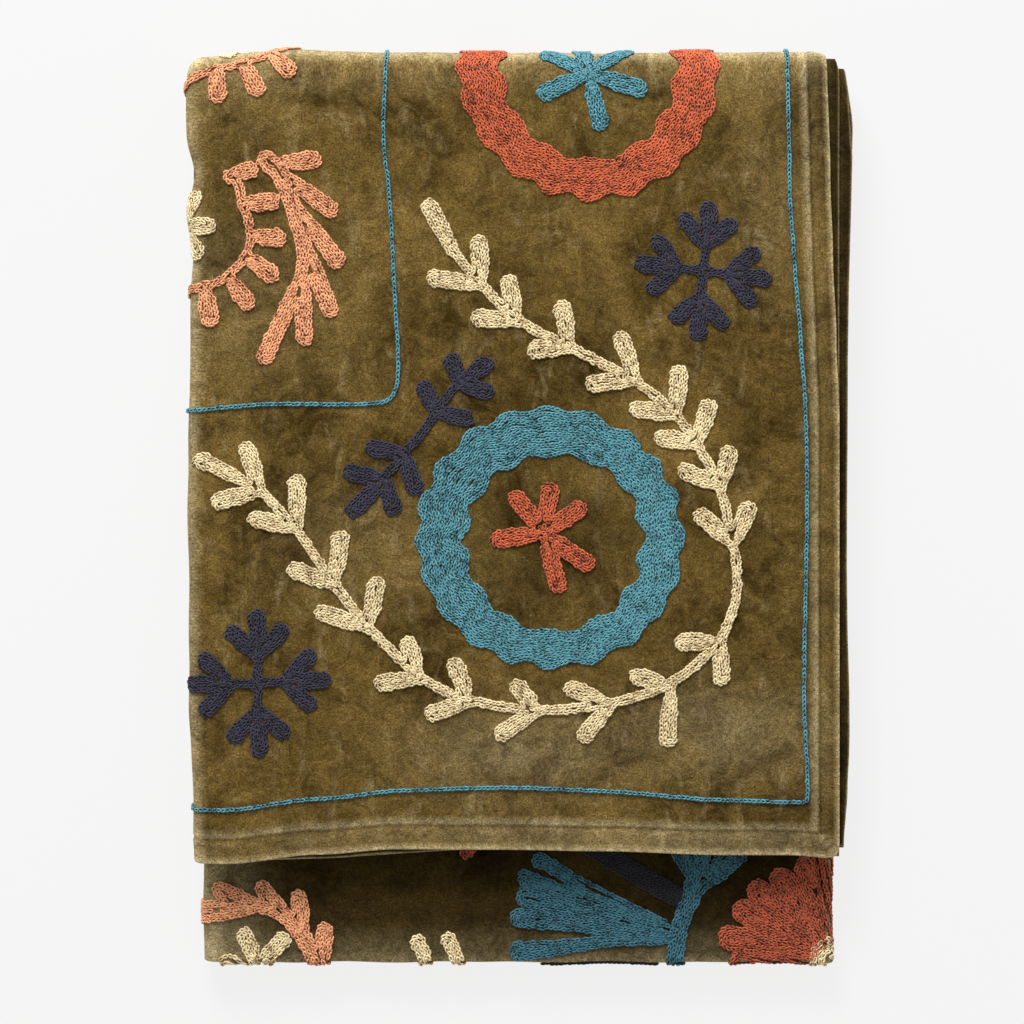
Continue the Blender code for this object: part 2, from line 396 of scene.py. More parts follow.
nap_and_painted_shade = (1 - ease((up - 0.50) / 0.20)) * (1 - 0.75 * ease((across - 0.45) / 0.15))
nap_and_painted_shade *= 1 - 0.62 * near(np.hypot(across - 0.145, up - 0.158), 0.044)
# Painted shade: the seam's groove is darkened.
nap_and_painted_shade *= 1 - 0.6 * near(edge - SEAM_AT, 0.0007) - 0.4 * near(edge - 0.0056, 0.0015)

# Painted sheen: the pile is made pale where light catches it, along the hem's edge, its band and the ridges
# beside its seam, over the top fold, the left fold, the centre folds behind, and on the ridge at the mitre of
# the corner.
on_front = (up < 0.43) & (across < 0.333)
past_top_fold = up - QUARTER_LENGTH_FOLD
beside_centre = np.abs(across - HALF_WIDTH_FOLD - bend_length(2) / 2) - 0.3 * bend_length(2)
painted_sheen_and_patches = np.where(on_front, 0.9 * near(edge, 0.0016), 0.6 * near(edge, 0.0006))
painted_sheen_and_patches += (0.16 - 0.11 * ease(across / 0.2 - 0.4)) * ease((SEAM_AT + 0.001 - up) / 0.002)
painted_sheen_and_patches += 0.55 * near(edge - SEAM_AT - 0.0013, 0.0008) + 0.26 * near(edge - 0.0088, 0.0010)
painted_sheen_and_patches += 0.62 * ease((past_top_fold - 0.0035) / 0.006) * (up < 0.45) + 0.08 * near(past_top_fold, 0.006)
painted_sheen_and_patches += 0.42 * ease((0.0005 + across - QUARTER_WIDTH_FOLD) / 0.004) * (across < 0.33)
painted_sheen_and_patches += 0.55 * near(beside_centre, 0.0009) + 0.22 * near(across - 0.338, 0.016) * (up > 0.6)
painted_sheen_and_patches += 0.65 * near(up - HALF_LENGTH_FOLD - 0.0018, 0.0016) + 0.12 * near(up - 0.846, 0.008)
painted_sheen_and_patches += 0.35 * near(across / SIDE_HEM_SHARE - up, 0.0012) * (up < SEAM_AT)
# Whole areas are made paler too: place across and up, half sizes, and how much.
for area_across, area_up, half_across, half_up, much in (
    (0.055, 0.062, 0.05, 0.022, 0.20), (0.165, 0.05, 0.045, 0.022, 0.20), (0.032, 0.33, 0.02, 0.05, 0.06),
    (0.30, 0.41, 0.035, 0.03, 0.16), (0.30, 0.28, 0.05, 0.04, 0.07), (0.235, 0.155, 0.04, 0.03, 0.06),
):
    painted_sheen_and_patches += much * near(across - area_across, half_across) * near(up - area_up, half_up)
for name, values in (("nap_and_painted_shade", nap_and_painted_shade), ("painted_sheen_and_patches", np.clip(painted_sheen_and_patches, 0, 1))):
    slab.attributes.new(name, "FLOAT", "POINT").data.foreach_set("value", values)


def colour(red, green, blue):
    """A display colour, 0 to 255, as the linear colour that shaders take."""
    def linear(value):
        value = value / 255
        return value / 12.92 if value <= 0.04045 else ((value + 0.055) / 1.055) ** 2.4
    return (linear(red), linear(green), linear(blue), 1.0)


def feed(tree, node, inputs):
    """Links or sets each named input of a node."""
    for name, value in inputs.items():
        if isinstance(value, bpy.types.NodeSocket):
            tree.links.new(value, node.inputs[name])
        else:
            node.inputs[name].default_value = value


def wire(tree, kind, inputs=None, **settings):
    """A new node with its settings made and its inputs fed."""
    node = tree.nodes.new(kind)
    for name, value in settings.items():
        setattr(node, name, value)
    feed(tree, node, inputs or {})
    return node


def maths(tree, first, second, operation, limit=False):
    inputs = {0: first, 1: second}
    return wire(tree, "ShaderNodeMath", inputs, operation=operation, use_clamp=limit).outputs[0]


def plus(tree, first, second, limit=False):
    return maths(tree, first, second, "ADD", limit)


def times(tree, first, second, limit=False):
    return maths(tree, first, second, "MULTIPLY", limit)


def blend(tree, share, first, second, kind="MIX"):
    """From the first colour to the second; on a mix node, sockets 6 and 7 are the colours, 2 the result."""
    inputs = {0: share, 6: first, 7: second}
    return wire(tree, "ShaderNodeMix", inputs, data_type="RGBA", blend_type=kind).outputs[2]


def noise(tree, place, scale, detail=2.0, roughness=0.5, distortion=0.0):
    return wire(tree, "ShaderNodeTexNoise", {
        "Vector": place, "Scale": scale, "Detail": detail, "Roughness": roughness, "Distortion": distortion,
    }).outputs["Fac"]


def spread(tree, value, low, high, to_low=0.0, to_high=1.0):
    inputs = {"Value": value, "From Min": low, "From Max": high, "To Min": to_low, "To Max": to_high}
    return wire(tree, "ShaderNodeMapRange", inputs, clamp=True).outputs["Result"]


def new_material(name):
    material = bpy.data.materials.new(name)
    material.use_nodes = True
    return material, material.node_tree, material.node_tree.nodes["Principled BSDF"]


def attribute(tree, name):
    return wire(tree, "ShaderNodeAttribute", attribute_name=name).outputs["Fac"]


def roughen(tree, shader, height, strength, distance):
    """Tilts the surface by small heights, without moving it."""
    bump = wire(tree, "ShaderNodeBump", {"Height": height, "Strength": strength, "Distance": distance})
    tree.links.new(bump.outputs["Normal"], shader.inputs["Normal"])


# Cotton velvet: the pile is pushed about by handling, so lighter and darker patches lie over a fine
# speckle of fibre ends, and at a glancing angle the ends catch the light.
velvet, tree, shader = new_material("olive_velvet")
place = wire(tree, "ShaderNodeUVMap", uv_map="cloth").outputs["UV"]
patches = noise(tree, place, 15.0, 5.0, 0.66, 0.8)
smudges = noise(tree, place, 70.0, 4.0, 0.7, 1.2)
slanted = wire(tree, "ShaderNodeMapping", {
    "Vector": place, "Rotation": (0, 0, 0.7), "Scale": (1.0, 0.4, 1.0)})
strokes = noise(tree, slanted.outputs["Vector"], 110.0, 3.0, 0.6, 0.6)
fibres = noise(tree, place, 1150.0, 2.0, 0.9)
clumps = noise(tree, place, 400.0, 2.0, 0.6)
lie = plus(tree, spread(tree, patches, 0.38, 0.64, 0.0, 0.6), spread(tree, smudges, 0.38, 0.64, 0.0, 0.4))
# The panel behind takes a darker copy of the velvet: partly its reversed nap, partly painted shade under the
# front panel.
front = blend(tree, lie, colour(56, 41, 10), colour(126, 102, 52))
behind = blend(tree, lie, colour(24, 16, 3), colour(64, 50, 20))
nap_and_shade_share = attribute(tree, "nap_and_painted_shade")
sheen_and_patches = attribute(tree, "painted_sheen_and_patches")
stroked = times(tree, spread(tree, strokes, 0.56, 0.76, 0.0, 0.2), nap_and_shade_share)
# Towards the pale colour: painted sheen, the pale patches and the pile's strokes.
patchy = times(tree, plus(tree, sheen_and_patches, stroked), spread(tree, smudges, 0.34, 0.66, 0.55, 1.25), limit=True)
ground = blend(tree, patchy, blend(tree, nap_and_shade_share, behind, front), colour(202, 183, 138))
grain = times(
    tree, spread(tree, fibres, 0.34, 0.66, 0.42, 1.6), spread(tree, clumps, 0.32, 0.68, 0.78, 1.22))
grain_colour = wire(tree, "ShaderNodeCombineColor", {0: grain, 1: grain, 2: grain}).outputs[0]
feed(tree, shader, {
    "Base Color": blend(tree, 1.0, ground, grain_colour, "MULTIPLY"), "Roughness": 0.95,
    "Specular IOR Level": 0.08, "Sheen Weight": 0.35, "Sheen Roughness": 0.25,
    "Sheen Tint": colour(214, 190, 130)})
roughen(tree, shader, plus(tree, times(tree, fibres, 0.5), times(tree, smudges, 2.0)), 0.7, 0.0007)

# The reverse is the velvet's plain woven ground.
reverse, tree, shader = new_material("velvet_reverse")
place = wire(tree, "ShaderNodeUVMap", uv_map="cloth").outputs["UV"]
warp, weft = (
    wire(tree, "ShaderNodeTexWave", {"Vector": place, "Scale": 520.0, "Distortion": 1.2},
         bands_direction=way).outputs["Fac"] for way in "XY")
weave = times(tree, warp, weft)
feed(tree, shader, {
    "Base Color": blend(tree, weave, colour(92, 76, 44), colour(122, 104, 68)), "Roughness": 0.9})
roughen(tree, shader, weave, 0.5, 0.0003)

slab.materials.append(velvet)
slab.materials.append(reverse)
first_corner = np.empty(len(slab.polygons), dtype=int)
slab.polygons.foreach_get("loop_start", first_corner)
corners = corner_vertex.reshape(-1, 4)
is_reverse = (~on_face[corners]).all(axis=1) & (edge[corners].min(axis=1) > SEAM_AT)
slab.polygons.foreach_set("material_index", is_reverse.astype(int))

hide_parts("throw")
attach(throw, "root")

# The embroidery is chain stitch worked with a hook: each stitch is a loop of cotton yarn that comes up
# inside the one before and holds it down, so a row looks plaited. Rows lie side by side and fill a
# shape from its outline inwards. All places are measured on the flat cloth, in mm from its hems.
CHAIN_STITCH = {
    "Stitch Pitch": 0.0022, "Stitch Length": 0.0028, "Stitch Width": 0.00272,
    "Yarn Thickness": 0.00097, "Relief": 0.00065, "Unevenness": 0.27,
}
YARN_SINK = 0.00015


def stitch_group(name, sizes, others):
    """A new node group that takes lines, sizes with their usual values and other inputs."""
    tree = bpy.data.node_groups.new(name, "GeometryNodeTree")
    for socket, kind in [("Geometry", "Geometry")] + others:
        tree.interface.new_socket(socket, in_out="INPUT", socket_type="NodeSocket" + kind)
    for size, value in sizes.items():
        tree.interface.new_socket(size, in_out="INPUT", socket_type="NodeSocketFloat").default_value = value
    tree.interface.new_socket("Geometry", in_out="OUTPUT", socket_type="NodeSocketGeometry")
    return tree, tree.nodes.new("NodeGroupInput").outputs


def made(tree, kind, inputs=None, **settings):
    """The first output of a new geometry node."""
    return wire(tree, "GeometryNode" + kind, inputs, **settings).outputs[0]


def vector(tree, x, y=0.0, z=0.0):
    return wire(tree, "ShaderNodeCombineXYZ", {0: x, 1: y, 2: z}).outputs[0]


def draw(tree, seed, least, most, kind="FLOAT"):
    """A random number, or three of them, for each stitch."""
    ends = {"Min": least, "Max": most} if kind == "FLOAT_VECTOR" else {2: least, 3: most}
    node = wire(tree, "FunctionNodeRandomValue", {**ends, "Seed": seed}, data_type=kind)
    return node.outputs[0 if kind == "FLOAT_VECTOR" else 1]


def set_along(tree, lines, pitch, stitch, heading, more):
    """Sets a stitch down at each pitch of the lines, upright on the cloth and turned along the heading."""
    beads = made(tree, "ResampleCurve", {
        "Curve": made(tree, "MeshToCurve", {"Mesh": lines}), "Length": pitch}, mode="LENGTH")
    outward = made(tree, "InputNamedAttribute", {"Name": "outward"}, data_type="FLOAT_VECTOR")
    turned = wire(tree, "FunctionNodeAxesToRotation", {
        "Primary Axis": outward, "Secondary Axis": heading}, primary_axis="Z", secondary_axis="X")
    return made(tree, "InstanceOnPoints", {
        "Points": beads, "Instance": stitch, "Rotation": turned.outputs[0], **more})


def finish_stitches(tree, stitches, material):
    """Makes the stitches real, smooth and of their material, and puts them out."""
    whole = made(tree, "RealizeInstances", {"Geometry": stitches})
    smooth = made(tree, "SetShadeSmooth", {"Geometry": whole})
    finished = made(tree, "SetMaterial", {"Geometry": smooth, "Material": material})
    tree.links.new(finished, tree.nodes.new("NodeGroupOutput").inputs[0])


def chain_stitch_tree():
    """Turns each line of a mesh into a row of chain stitches that stand on the cloth."""
    tree, given = stitch_group("chain_stitch", CHAIN_STITCH, [("Seed", "Int"), ("Yarn", "Material")])
    thickness, length, width = given["Yarn Thickness"], given["Stitch Length"], given["Stitch Width"]

    # One stitch: a circle drawn out into a loop, narrow where it comes up and round where it is held.
    circle = made(tree, "CurvePrimitiveCircle", {"Resolution": 8, "Radius": 1.0})
    turn = wire(tree, "ShaderNodeSeparateXYZ", {0: made(tree, "InputPosition")})
    share = times(tree, maths(tree, 1.0, turn.outputs[0], "SUBTRACT"), 0.5)
    wide = plus(tree, times(tree, share, 0.40), 0.66)
    inner = times(tree, maths(tree, width, thickness, "SUBTRACT"), 0.5)
    sideways = times(tree, times(tree, turn.outputs[1], wide), inner)
    rise = times(tree, maths(tree, 1.0, share, "SUBTRACT"), plus(tree, times(tree, share, 1.9), 0.75))
    upward = plus(tree, times(tree, rise, given["Relief"]), times(tree, thickness, 0.4))
    shaped = vector(tree, times(tree, share, length), sideways, upward)
    loop = made(tree, "SetPosition", {"Geometry": circle, "Position": shaped})
    # The loop's height is kept as an attribute, so that the yarn's material paints shade where the loop lies
    # low.
    high = made(tree, "StoreNamedAttribute", {
        "Geometry": loop, "Name": "high", "Value": plus(tree, rise, 0.35)}, data_type="FLOAT", domain="POINT")
    strand = made(tree, "CurvePrimitiveCircle", {"Resolution": 4, "Radius": times(tree, thickness, 0.5)})
    yarn_loop = made(tree, "CurveToMesh", {"Curve": high, "Profile Curve": strand})
    # Under it a flat dark box, painted shade that shows dark between the loops.
    bed = made(tree, "MeshCube", {
        "Size": vector(tree, given["Stitch Pitch"], times(tree, width, 0.86), times(tree, thickness, 0.5))})
    bed_middle = vector(tree, times(tree, length, 0.5), 0.0, times(tree, thickness, 0.1))
    stitch = wire(tree, "GeometryNodeJoinGeometry")
    tree.links.new(made(tree, "Transform", {"Geometry": bed, "Translation": bed_middle}), stitch.inputs[0])
    tree.links.new(yarn_loop, stitch.inputs[0])

    # Each one is turned a little off its row, a little larger or smaller, and dyed a little differently.
    seed = given["Seed"]
    sway = draw(tree, seed, (-1.0, -1.0, -1.0), (1.0, 1.0, 1.0), "FLOAT_VECTOR")
    swayed = wire(tree, "ShaderNodeVectorMath", {0: sway, 3: given["Unevenness"]}, operation="SCALE")
    heading = wire(tree, "ShaderNodeVectorMath", {
        0: made(tree, "InputTangent"), 1: swayed.outputs[0]}, operation="ADD")
    laid_down = set_along(
        tree, given["Geometry"], given["Stitch Pitch"], stitch.outputs[0], heading.outputs[0],
        {"Scale": draw(tree, plus(tree, seed, 2.0), 0.92, 1.08)})
    toned = made(tree, "StoreNamedAttribute", {
        "Geometry": laid_down, "Name": "tone", "Value": draw(tree, plus(tree, seed, 1.0), 0.0, 1.0)},
        data_type="FLOAT", domain="INSTANCE")
    finish_stitches(tree, toned, given["Yarn"])
    return tree


chain_stitch = chain_stitch_tree()


def yarn_look():
    """Cotton yarn: painted shade darkens it low down between the strands; it is a little uneven in its dye,
    with a soft fuzz.
    """
    group = bpy.data.node_groups.new("cotton_yarn", "ShaderNodeTree")
    for name, kind in (("Light", "NodeSocketColor"), ("Painted Shade", "NodeSocketColor")):
        group.interface.new_socket(name, in_out="INPUT", socket_type=kind)
    group.interface.new_socket("Color", in_out="OUTPUT", socket_type="NodeSocketColor")
    group.interface.new_socket("Height", in_out="OUTPUT", socket_type="NodeSocketFloat")
    given = group.nodes.new("NodeGroupInput").outputs
    place = group.nodes.new("ShaderNodeTexCoord").outputs["Object"]
    high = attribute(group, "high")
    tone = attribute(group, "tone")
    fuzz = noise(group, place, 1000.0, 2.0, 0.6)
    dye = noise(group, place, 70.0, 2.0, 0.5)
    # Painted shade: the lower a part of the loop lies, the nearer it is to the dark colour.
    share = times(group, spread(group, high, 0.16, 1.0), 0.80)
    share = plus(group, share, spread(group, tone, 0.0, 1.0, -0.32, 0.32))
    share = plus(group, share, spread(group, dye, 0.35, 0.65, -0.10, 0.10))
    share = plus(group, share, spread(group, fuzz, 0.36, 0.64, -0.44, 0.44), limit=True)
    out = group.nodes.new("NodeGroupOutput")
    feed(group, out, {"Color": blend(group, share, given["Painted Shade"], given["Light"]), "Height": fuzz})
    return group


cotton_yarn = yarn_look()


def yarn(name, light, dark):
    material, tree, shader = new_material(name)
    look = wire(
        tree, "ShaderNodeGroup", {"Light": colour(*light), "Painted Shade": colour(*dark)}, node_tree=cotton_yarn)
    feed(tree, shader, {
        "Base Color": look.outputs["Color"], "Roughness": 0.7, "Specular IOR Level": 0.3,
        "Sheen Weight": 0.1, "Sheen Roughness": 0.5})
    roughen(tree, shader, look.outputs["Height"], 0.5, 0.0002)
    return material


# Each yarn: its colour in full light, then the painted shade of its low parts.
teal = yarn("teal_yarn", (100, 166, 178), (0, 14, 28))
rust = yarn("rust_yarn", (220, 110, 68), (46, 8, 1))
coral = yarn("coral_yarn", (255, 186, 136), (122, 46, 18))
cream = yarn("cream_yarn", (255, 238, 190), (134, 92, 44))
navy = yarn("navy_yarn", (60, 58, 76), (0, 0, 2))
# Darker copies of the teal, rust and navy yarns: painted shade for the motifs on the panel behind.
teal_in_painted_shade = yarn("teal_yarn_in_painted_shade", (66, 122, 138), (0, 12, 22))
rust_in_painted_shade = yarn("rust_yarn_in_painted_shade", (200, 98, 64), (40, 8, 2))
navy_in_painted_shade = yarn("navy_yarn_in_painted_shade", (32, 30, 40), (0, 0, 2))

# Rows, in mm: the step between their places, the space between them, the grid they are found on, and
# the shortest one that is worked.
ROW_STEP = 0.8
ROW_SPACING = 2.2
FIELD_STEP = 0.5
SHORTEST_ROW = 2.4


def smooth_line(points, step=ROW_STEP):
    """A line through the points without corners, in even steps."""
    points = np.array(points, dtype=float)
    for _ in range(3):
        cut = np.empty((2 * (len(points) - 1), 2))
        cut[0::2] = 0.75 * points[:-1] + 0.25 * points[1:]
        cut[1::2] = 0.25 * points[:-1] + 0.75 * points[1:]
        points = np.concatenate([points[:1], cut, points[-1:]])
    return even_steps(points, step)


def even_steps(points, step=ROW_STEP):
    points = np.array(points, dtype=float)
    run = np.concatenate([[0], np.cumsum(np.linalg.norm(np.diff(points, axis=0), axis=1))])
    at = np.linspace(0, run[-1], max(2, int(round(run[-1] / step)) + 1))
    return np.stack([np.interp(at, run, points[:, i]) for i in (0, 1)], axis=1)


def stem(points, width):
    """A line of even width, as its places and its half widths."""
    line = smooth_line(points, 3.0)
    return line, np.full(len(line), width / 2)


def club(base, tip, width, neck=0.6):
    """A leaf or petal: it swells from its neck, a share of its width, to a round end that touches the tip."""
    base, tip = np.array(base, dtype=float), np.array(tip, dtype=float)
    length = np.linalg.norm(tip - base)
    share = np.linspace(0, 1, 9)
    line = base + (tip - base) * (1 - width / 2 / length) * share[:, None]
    return line, width / 2 * (neck + (1 - neck) * ease(share * 1.7))


def leaves(places, width, neck):
    """A leaf for each row of base and tip."""
    return [club(row[:2], row[2:], width, neck) for row in places]


def depth_in(shapes, cut=None):
    """How deep each spot of a grid lies inside the shapes, and the grid's corner."""
    low = np.min([line.min(axis=0) - halves.max() for line, halves in shapes], axis=0) - 2 * FIELD_STEP
    high = np.max([line.max(axis=0) + halves.max() for line, halves in shapes], axis=0) + 2 * FIELD_STEP
    cells = np.ceil((high - low) / FIELD_STEP).astype(int) + 1
    depth = np.full(cells, -1.0)
    for line, halves in shapes:
        for start, end, half, next_half in zip(line[:-1], line[1:], halves[:-1], halves[1:]):
            reach = max(half, next_half) + FIELD_STEP
            lowest = (np.minimum(start, end) - reach - low) / FIELD_STEP
            highest = (np.maximum(start, end) + reach - low) / FIELD_STEP
            first = np.maximum(lowest.astype(int), 1)
            last = np.minimum(highest.astype(int) + 2, cells - 1)
            ranges = [np.arange(a, b) for a, b in zip(first, last)]
            spot = np.stack(np.meshgrid(*ranges, indexing="ij"), axis=-1)
            out = spot * FIELD_STEP + low - start
            ahead = end - start
            share = np.clip(out @ ahead / (ahead @ ahead), 0, 1)
            aside = np.linalg.norm(out - share[..., None] * ahead, axis=-1)
            inside = half + (next_half - half) * share - aside
            if cut is not None:
                inside = np.minimum(inside, cut(spot * FIELD_STEP + low))
            window = depth[first[0]:last[0], first[1]:last[1]]
            np.maximum(window, inside, out=window)
    return depth, low


def rows_at(depth, low, level):
    """Closed lines through all spots of the grid that lie just so deep."""
    inside = depth > level
    wide = depth.shape[1]
    links = {}
    corners = [inside[:-1, :-1], inside[1:, :-1], inside[1:, 1:], inside[:-1, 1:]]
    mixed = np.logical_or.reduce(corners) & ~np.logical_and.reduce(corners)
    for i, j in zip(*np.nonzero(mixed)):
        a, b, c, d = inside[i, j], inside[i + 1, j], inside[i + 1, j + 1], inside[i, j + 1]
        here = 2 * (i * wide + j)
        sides = [(here, a != b), (here + 2 * wide + 1, b != c), (here + 2, c != d), (here + 1, a != d)]
        crossed = [side for side, differs in sides if differs]
        for one, other in zip(crossed[0::2], crossed[1::2]):
            links.setdefault(one, []).append(other)
            links.setdefault(other, []).append(one)

    def crossing(side):
        i, j = divmod(side // 2, wide)
        k, m = (i, j + 1) if side % 2 else (i + 1, j)
        share = (level - depth[i, j]) / (depth[k, m] - depth[i, j])
        return low + FIELD_STEP * np.array([i + share * (k - i), j + share * (m - j)])

    rows = []
    while links:
        start, (after, _) = links.popitem()
        path, came, here = [start], start, after
        while here != start:
            path.append(here)
            one, other = links.pop(here)
            came, here = here, other if one == came else one
        row = np.array([crossing(side) for side in path + [start]])
        if np.linalg.norm(np.diff(row, axis=0), axis=1).sum() > SHORTEST_ROW:
            rows.append(even_steps(row))
    return rows


def fill(shapes, spacing=ROW_SPACING, cut=None):
    """Rows that fill shapes which have grown together, from their outline inwards. A single row goes down
    the middle where the innermost two lie too far apart."""
    least = 0.15
    depth, low = depth_in(shapes, cut)
    levels = np.arange(spacing / 2, depth.max() - least, spacing)
    rows = [row for level in levels for row in rows_at(depth, low, level)]
    for line, _ in shapes:
        axis = even_steps(line)
        cell = np.rint((axis - low) / FIELD_STEP).astype(int)
        inside = depth[cell[:, 0], cell[:, 1]]
        left_over = inside - levels[np.clip(np.searchsorted(levels, inside - least) - 1, 0, None)]
        open_here = (inside > levels[0]) & (left_over > 0.57 * spacing)
        rows += [axis[run] for run in runs(open_here)]
    return rows


def runs(flags, shortest=4):
    """The index runs over which the flags stay true."""
    edges = np.flatnonzero(np.diff(np.concatenate([[False], flags, [False]]).astype(int)))
    return [np.arange(a, b) for a, b in zip(edges[0::2], edges[1::2]) if b - a >= shortest]


def over_folds(rows):
    """Rows measured along the outside of the left and top folds, as places on the flat cloth: the outer
    layer of a thick fold is drawn out."""
    moved = []
    for row in rows:
        place = row.copy()
        for axis, fold_line, layers in ((0, QUARTER_WIDTH_FOLD, 4), (1, QUARTER_LENGTH_FOLD, 8)):
            beyond = np.maximum(place[:, axis] - 1000 * fold_line, 0)
            place[:, axis] -= beyond * (1 - bend_length(layers) / (math.pi * outer_radius(layers)))
        moved.append(place)
    return moved


def lay_rows(rows):
    """The rows where they lie on the folded cloth, with the cloth's outward direction. They are cut where
    they turn to the underside or go under the front panel."""
    pieces = []
    nudge = 0.0004
    underside = -0.8
    lowest = 0.0012
    for row in rows:
        flat = np.stack([-row[:, 0] / 1000, row[:, 1] / 1000, np.full(len(row), -YARN_SINK)], axis=1)
        on = lay(flat)
        rightward = lay(flat + (nudge, 0, 0)) - lay(flat - (nudge, 0, 0))
        upward = lay(flat + (0, nudge, 0)) - lay(flat - (0, nudge, 0))
        outward = np.cross(rightward, upward)
        outward /= np.linalg.norm(outward, axis=1, keepdims=True)
        on -= middle
        shows = (outward[:, 2] > underside) & (on[:, 2] > lowest)
        on_back_panel = flat[:, 1] > THROW_LENGTH / 4 + 0.02
        hidden = on_back_panel & (flat[:, 1] < HALF_LENGTH_FOLD - BACK_PANEL_REACH - 0.006)
        shows &= ~(hidden & (outward[:, 2] > 0.9))
        pieces += [(on[run], outward[run]) for run in runs(shows)]
    return pieces


def stitch_rows(name, rows, group, values):
    """One piece of stitching: its rows as lines on the cloth, then the group's stitches along them."""
    pieces = lay_rows(rows)
    starts = np.cumsum([0] + [len(p) for p, _ in pieces])
    edges = [(s + i, s + i + 1) for s, (p, _) in zip(starts, pieces) for i in range(len(p) - 1)]
    mesh = bpy.data.meshes.new(name)
    mesh.from_pydata(np.concatenate([p for p, _ in pieces]).tolist(), edges, [])
    outward = mesh.attributes.new("outward", "FLOAT_VECTOR", "POINT")
    outward.data.foreach_set("vector", np.concatenate([n for _, n in pieces]).ravel())
    piece = new_object(name, mesh)
    stitches = piece.modifiers.new(group.name, "NODES")
    stitches.node_group = group
    for item in group.interface.items_tree:
        if item.in_out == "INPUT" and item.name in values:
            stitches[item.identifier] = values[item.name]
    made_plain(piece, stitches)
    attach(piece, "root")
    return piece


def embroider(name, rows, material, seed, **sizes):
    return stitch_rows(name, rows, chain_stitch, {"Seed": seed, "Yarn": material, **sizes})


# Two single rows of teal chain run round the throw: one inside the hem, and one that frames the middle.
border = smooth_line([
    (20, 435), (20, 393), (21, 328), (19, 289), (17, 229), (16, 180), (17, 130), (18, 79), (16.5, 50),
    (16, 34), (16, 27.5), (23, 26.5), (40, 27), (70, 28), (119, 30.6), (169, 32), (254, 28), (320, 26.4),
    (345, 26)])
frame_line = smooth_line([
    (225, 435), (225, 394), (226, 378), (227, 358), (223, 328), (221, 279), (219, 250), (219.5, 236),
    (223, 229), (233, 226.6), (268, 227), (293, 226.6), (319, 223.6), (345, 223)])
lines = embroider("teal_border_lines", [border, frame_line], teal, 1, **{
    "Unevenness": 0.12, "Yarn Thickness": 0.00082, "Stitch Width": 0.0025, "Relief": 0.0009})


def medallion(centre, inner, outer, inner_lobes, outer_lobes, turn, shift):
    """Rows of a ring whose two edges are scalloped, worked one inside the other. The hole is shifted from
    the middle, and each row starts at another place."""
    count = round((outer - inner) / ROW_SPACING)
    rings = []
    for i in range(count):
        angle = np.linspace(0, 2 * math.pi, 1441) + 2.4 * i
        unsteady = 0.45 * np.sin(2 * angle + turn) + 0.3 * np.sin(5 * angle)
        near_side = inner + shift[0] * np.cos(angle) + shift[1] * np.sin(angle)
        near_side += 0.5 * np.sin(3 * angle + turn)
        near_side += (1.6 + 0.5 * np.sin(2 * angle + 1)) * np.cos(inner_lobes * angle + turn + unsteady)
        far_side = outer + 0.6 * np.sin(2 * angle + 2 * turn)
        far_side += (1.5 + 0.4 * np.sin(3 * angle)) * np.cos(outer_lobes * angle + turn + unsteady)
        radius = near_side + (far_side - near_side) * (i + 0.5) / count
        ring = np.stack([centre[0] + radius * np.cos(angle), centre[1] + radius * np.sin(angle)], axis=1)
        rings.append(even_steps(ring))
    return rings


def flower(centre, petals, width, neck=0.6):
    """Petals round a centre, each with its own direction in degrees and its length."""
    shapes = [stem([centre, np.array(centre) + 0.2], 8.8)]
    for direction, length in petals:
        angle = math.radians(direction)
        tip = (centre[0] - length * math.cos(angle), centre[1] + length * math.sin(angle))
        shapes.append(club(centre, tip, width, neck))
    return shapes


# Medallions: scalloped rings of teal and of rust, each with a six-petalled flower of the other colour.
teal_ring = embroider("teal_medallion_ring", medallion(
    (144, 160), 44.0, 65.5, 14, 20, 0.3, (-2.2, -2.2)), teal, 2)
rust_flower = embroider("rust_flower", fill(flower(
    (147, 163), ((128, 26), (81, 25), (34, 25), (-36, 30), (-75, 31), (188, 26)), 9.2), 2.3), rust, 3)
rust_ring = embroider("rust_medallion_ring", over_folds(medallion(
    (123, 395.5), 44.9, 66.4, 14, 20, 0.1, (0.0, -1.5))), rust, 4)
teal_flower = embroider("teal_flower", over_folds(fill(flower(
    (124, 391.5), ((-157, 28), (-77, 29), (-16, 31), (38, 29), (100, 27), (150, 28)), 8.8))), teal, 5)

# A cream vine curves round the teal medallion, two rows thick, with a pair of leaves at each joint.
# Columns: the joint, then the tips of its two leaves, each as mm left of the right hem and mm up.
VINE = (
    (178, 286, 179, 311, 205, 290), (160, 268, 165, 291, 183, 270), (134, 255, 138, 278, 155, 254),
    (101, 239, 109, 263, 126, 237), (81, 222, 79, 246, 104, 225), (71, 207, 64, 229, 92, 211),
    (59, 186, 54, 206, 80, 195), (53, 157, 44, 178, 71, 174), (59, 108, 82, 108, 59, 86),
    (84, 85, 104, 91, 86, 54), (114, 75, 136, 85, 129, 56), (150, 71, 162, 87, 171, 58),
    (184, 76, 192, 99, 206, 69), (209, 88, 215, 110, 231, 86), (234, 115, 229, 141, 260, 124),
    (251, 137, 247, 164, 274, 146), (269, 165, 269, 192, 293, 171), (287, 184, 295, 208, 311, 178),
)
VINE_BARE = ((51, 145), (51, 129), (56, 117))
spine = [(191, 302)] + [r[:2] for r in VINE[:8]] + list(VINE_BARE) + [r[:2] for r in VINE[8:]]
vine_shapes = [
    stem(spine, 5.0), club((192.5, 304), (205.5, 328.5), 8.9, 0.78),
    club((288, 185), (318.5, 200.5), 7.8, 0.5)]
for joint_left, joint_up, *tips in VINE:
    joint = (joint_left, joint_up)
    vine_shapes += [club(joint, tips[:2], 9.0, 0.64), club(joint, tips[2:], 8.8, 0.64)]
    vine_shapes.append(stem([joint, (joint_left, joint_up + 0.2)], 6.6))
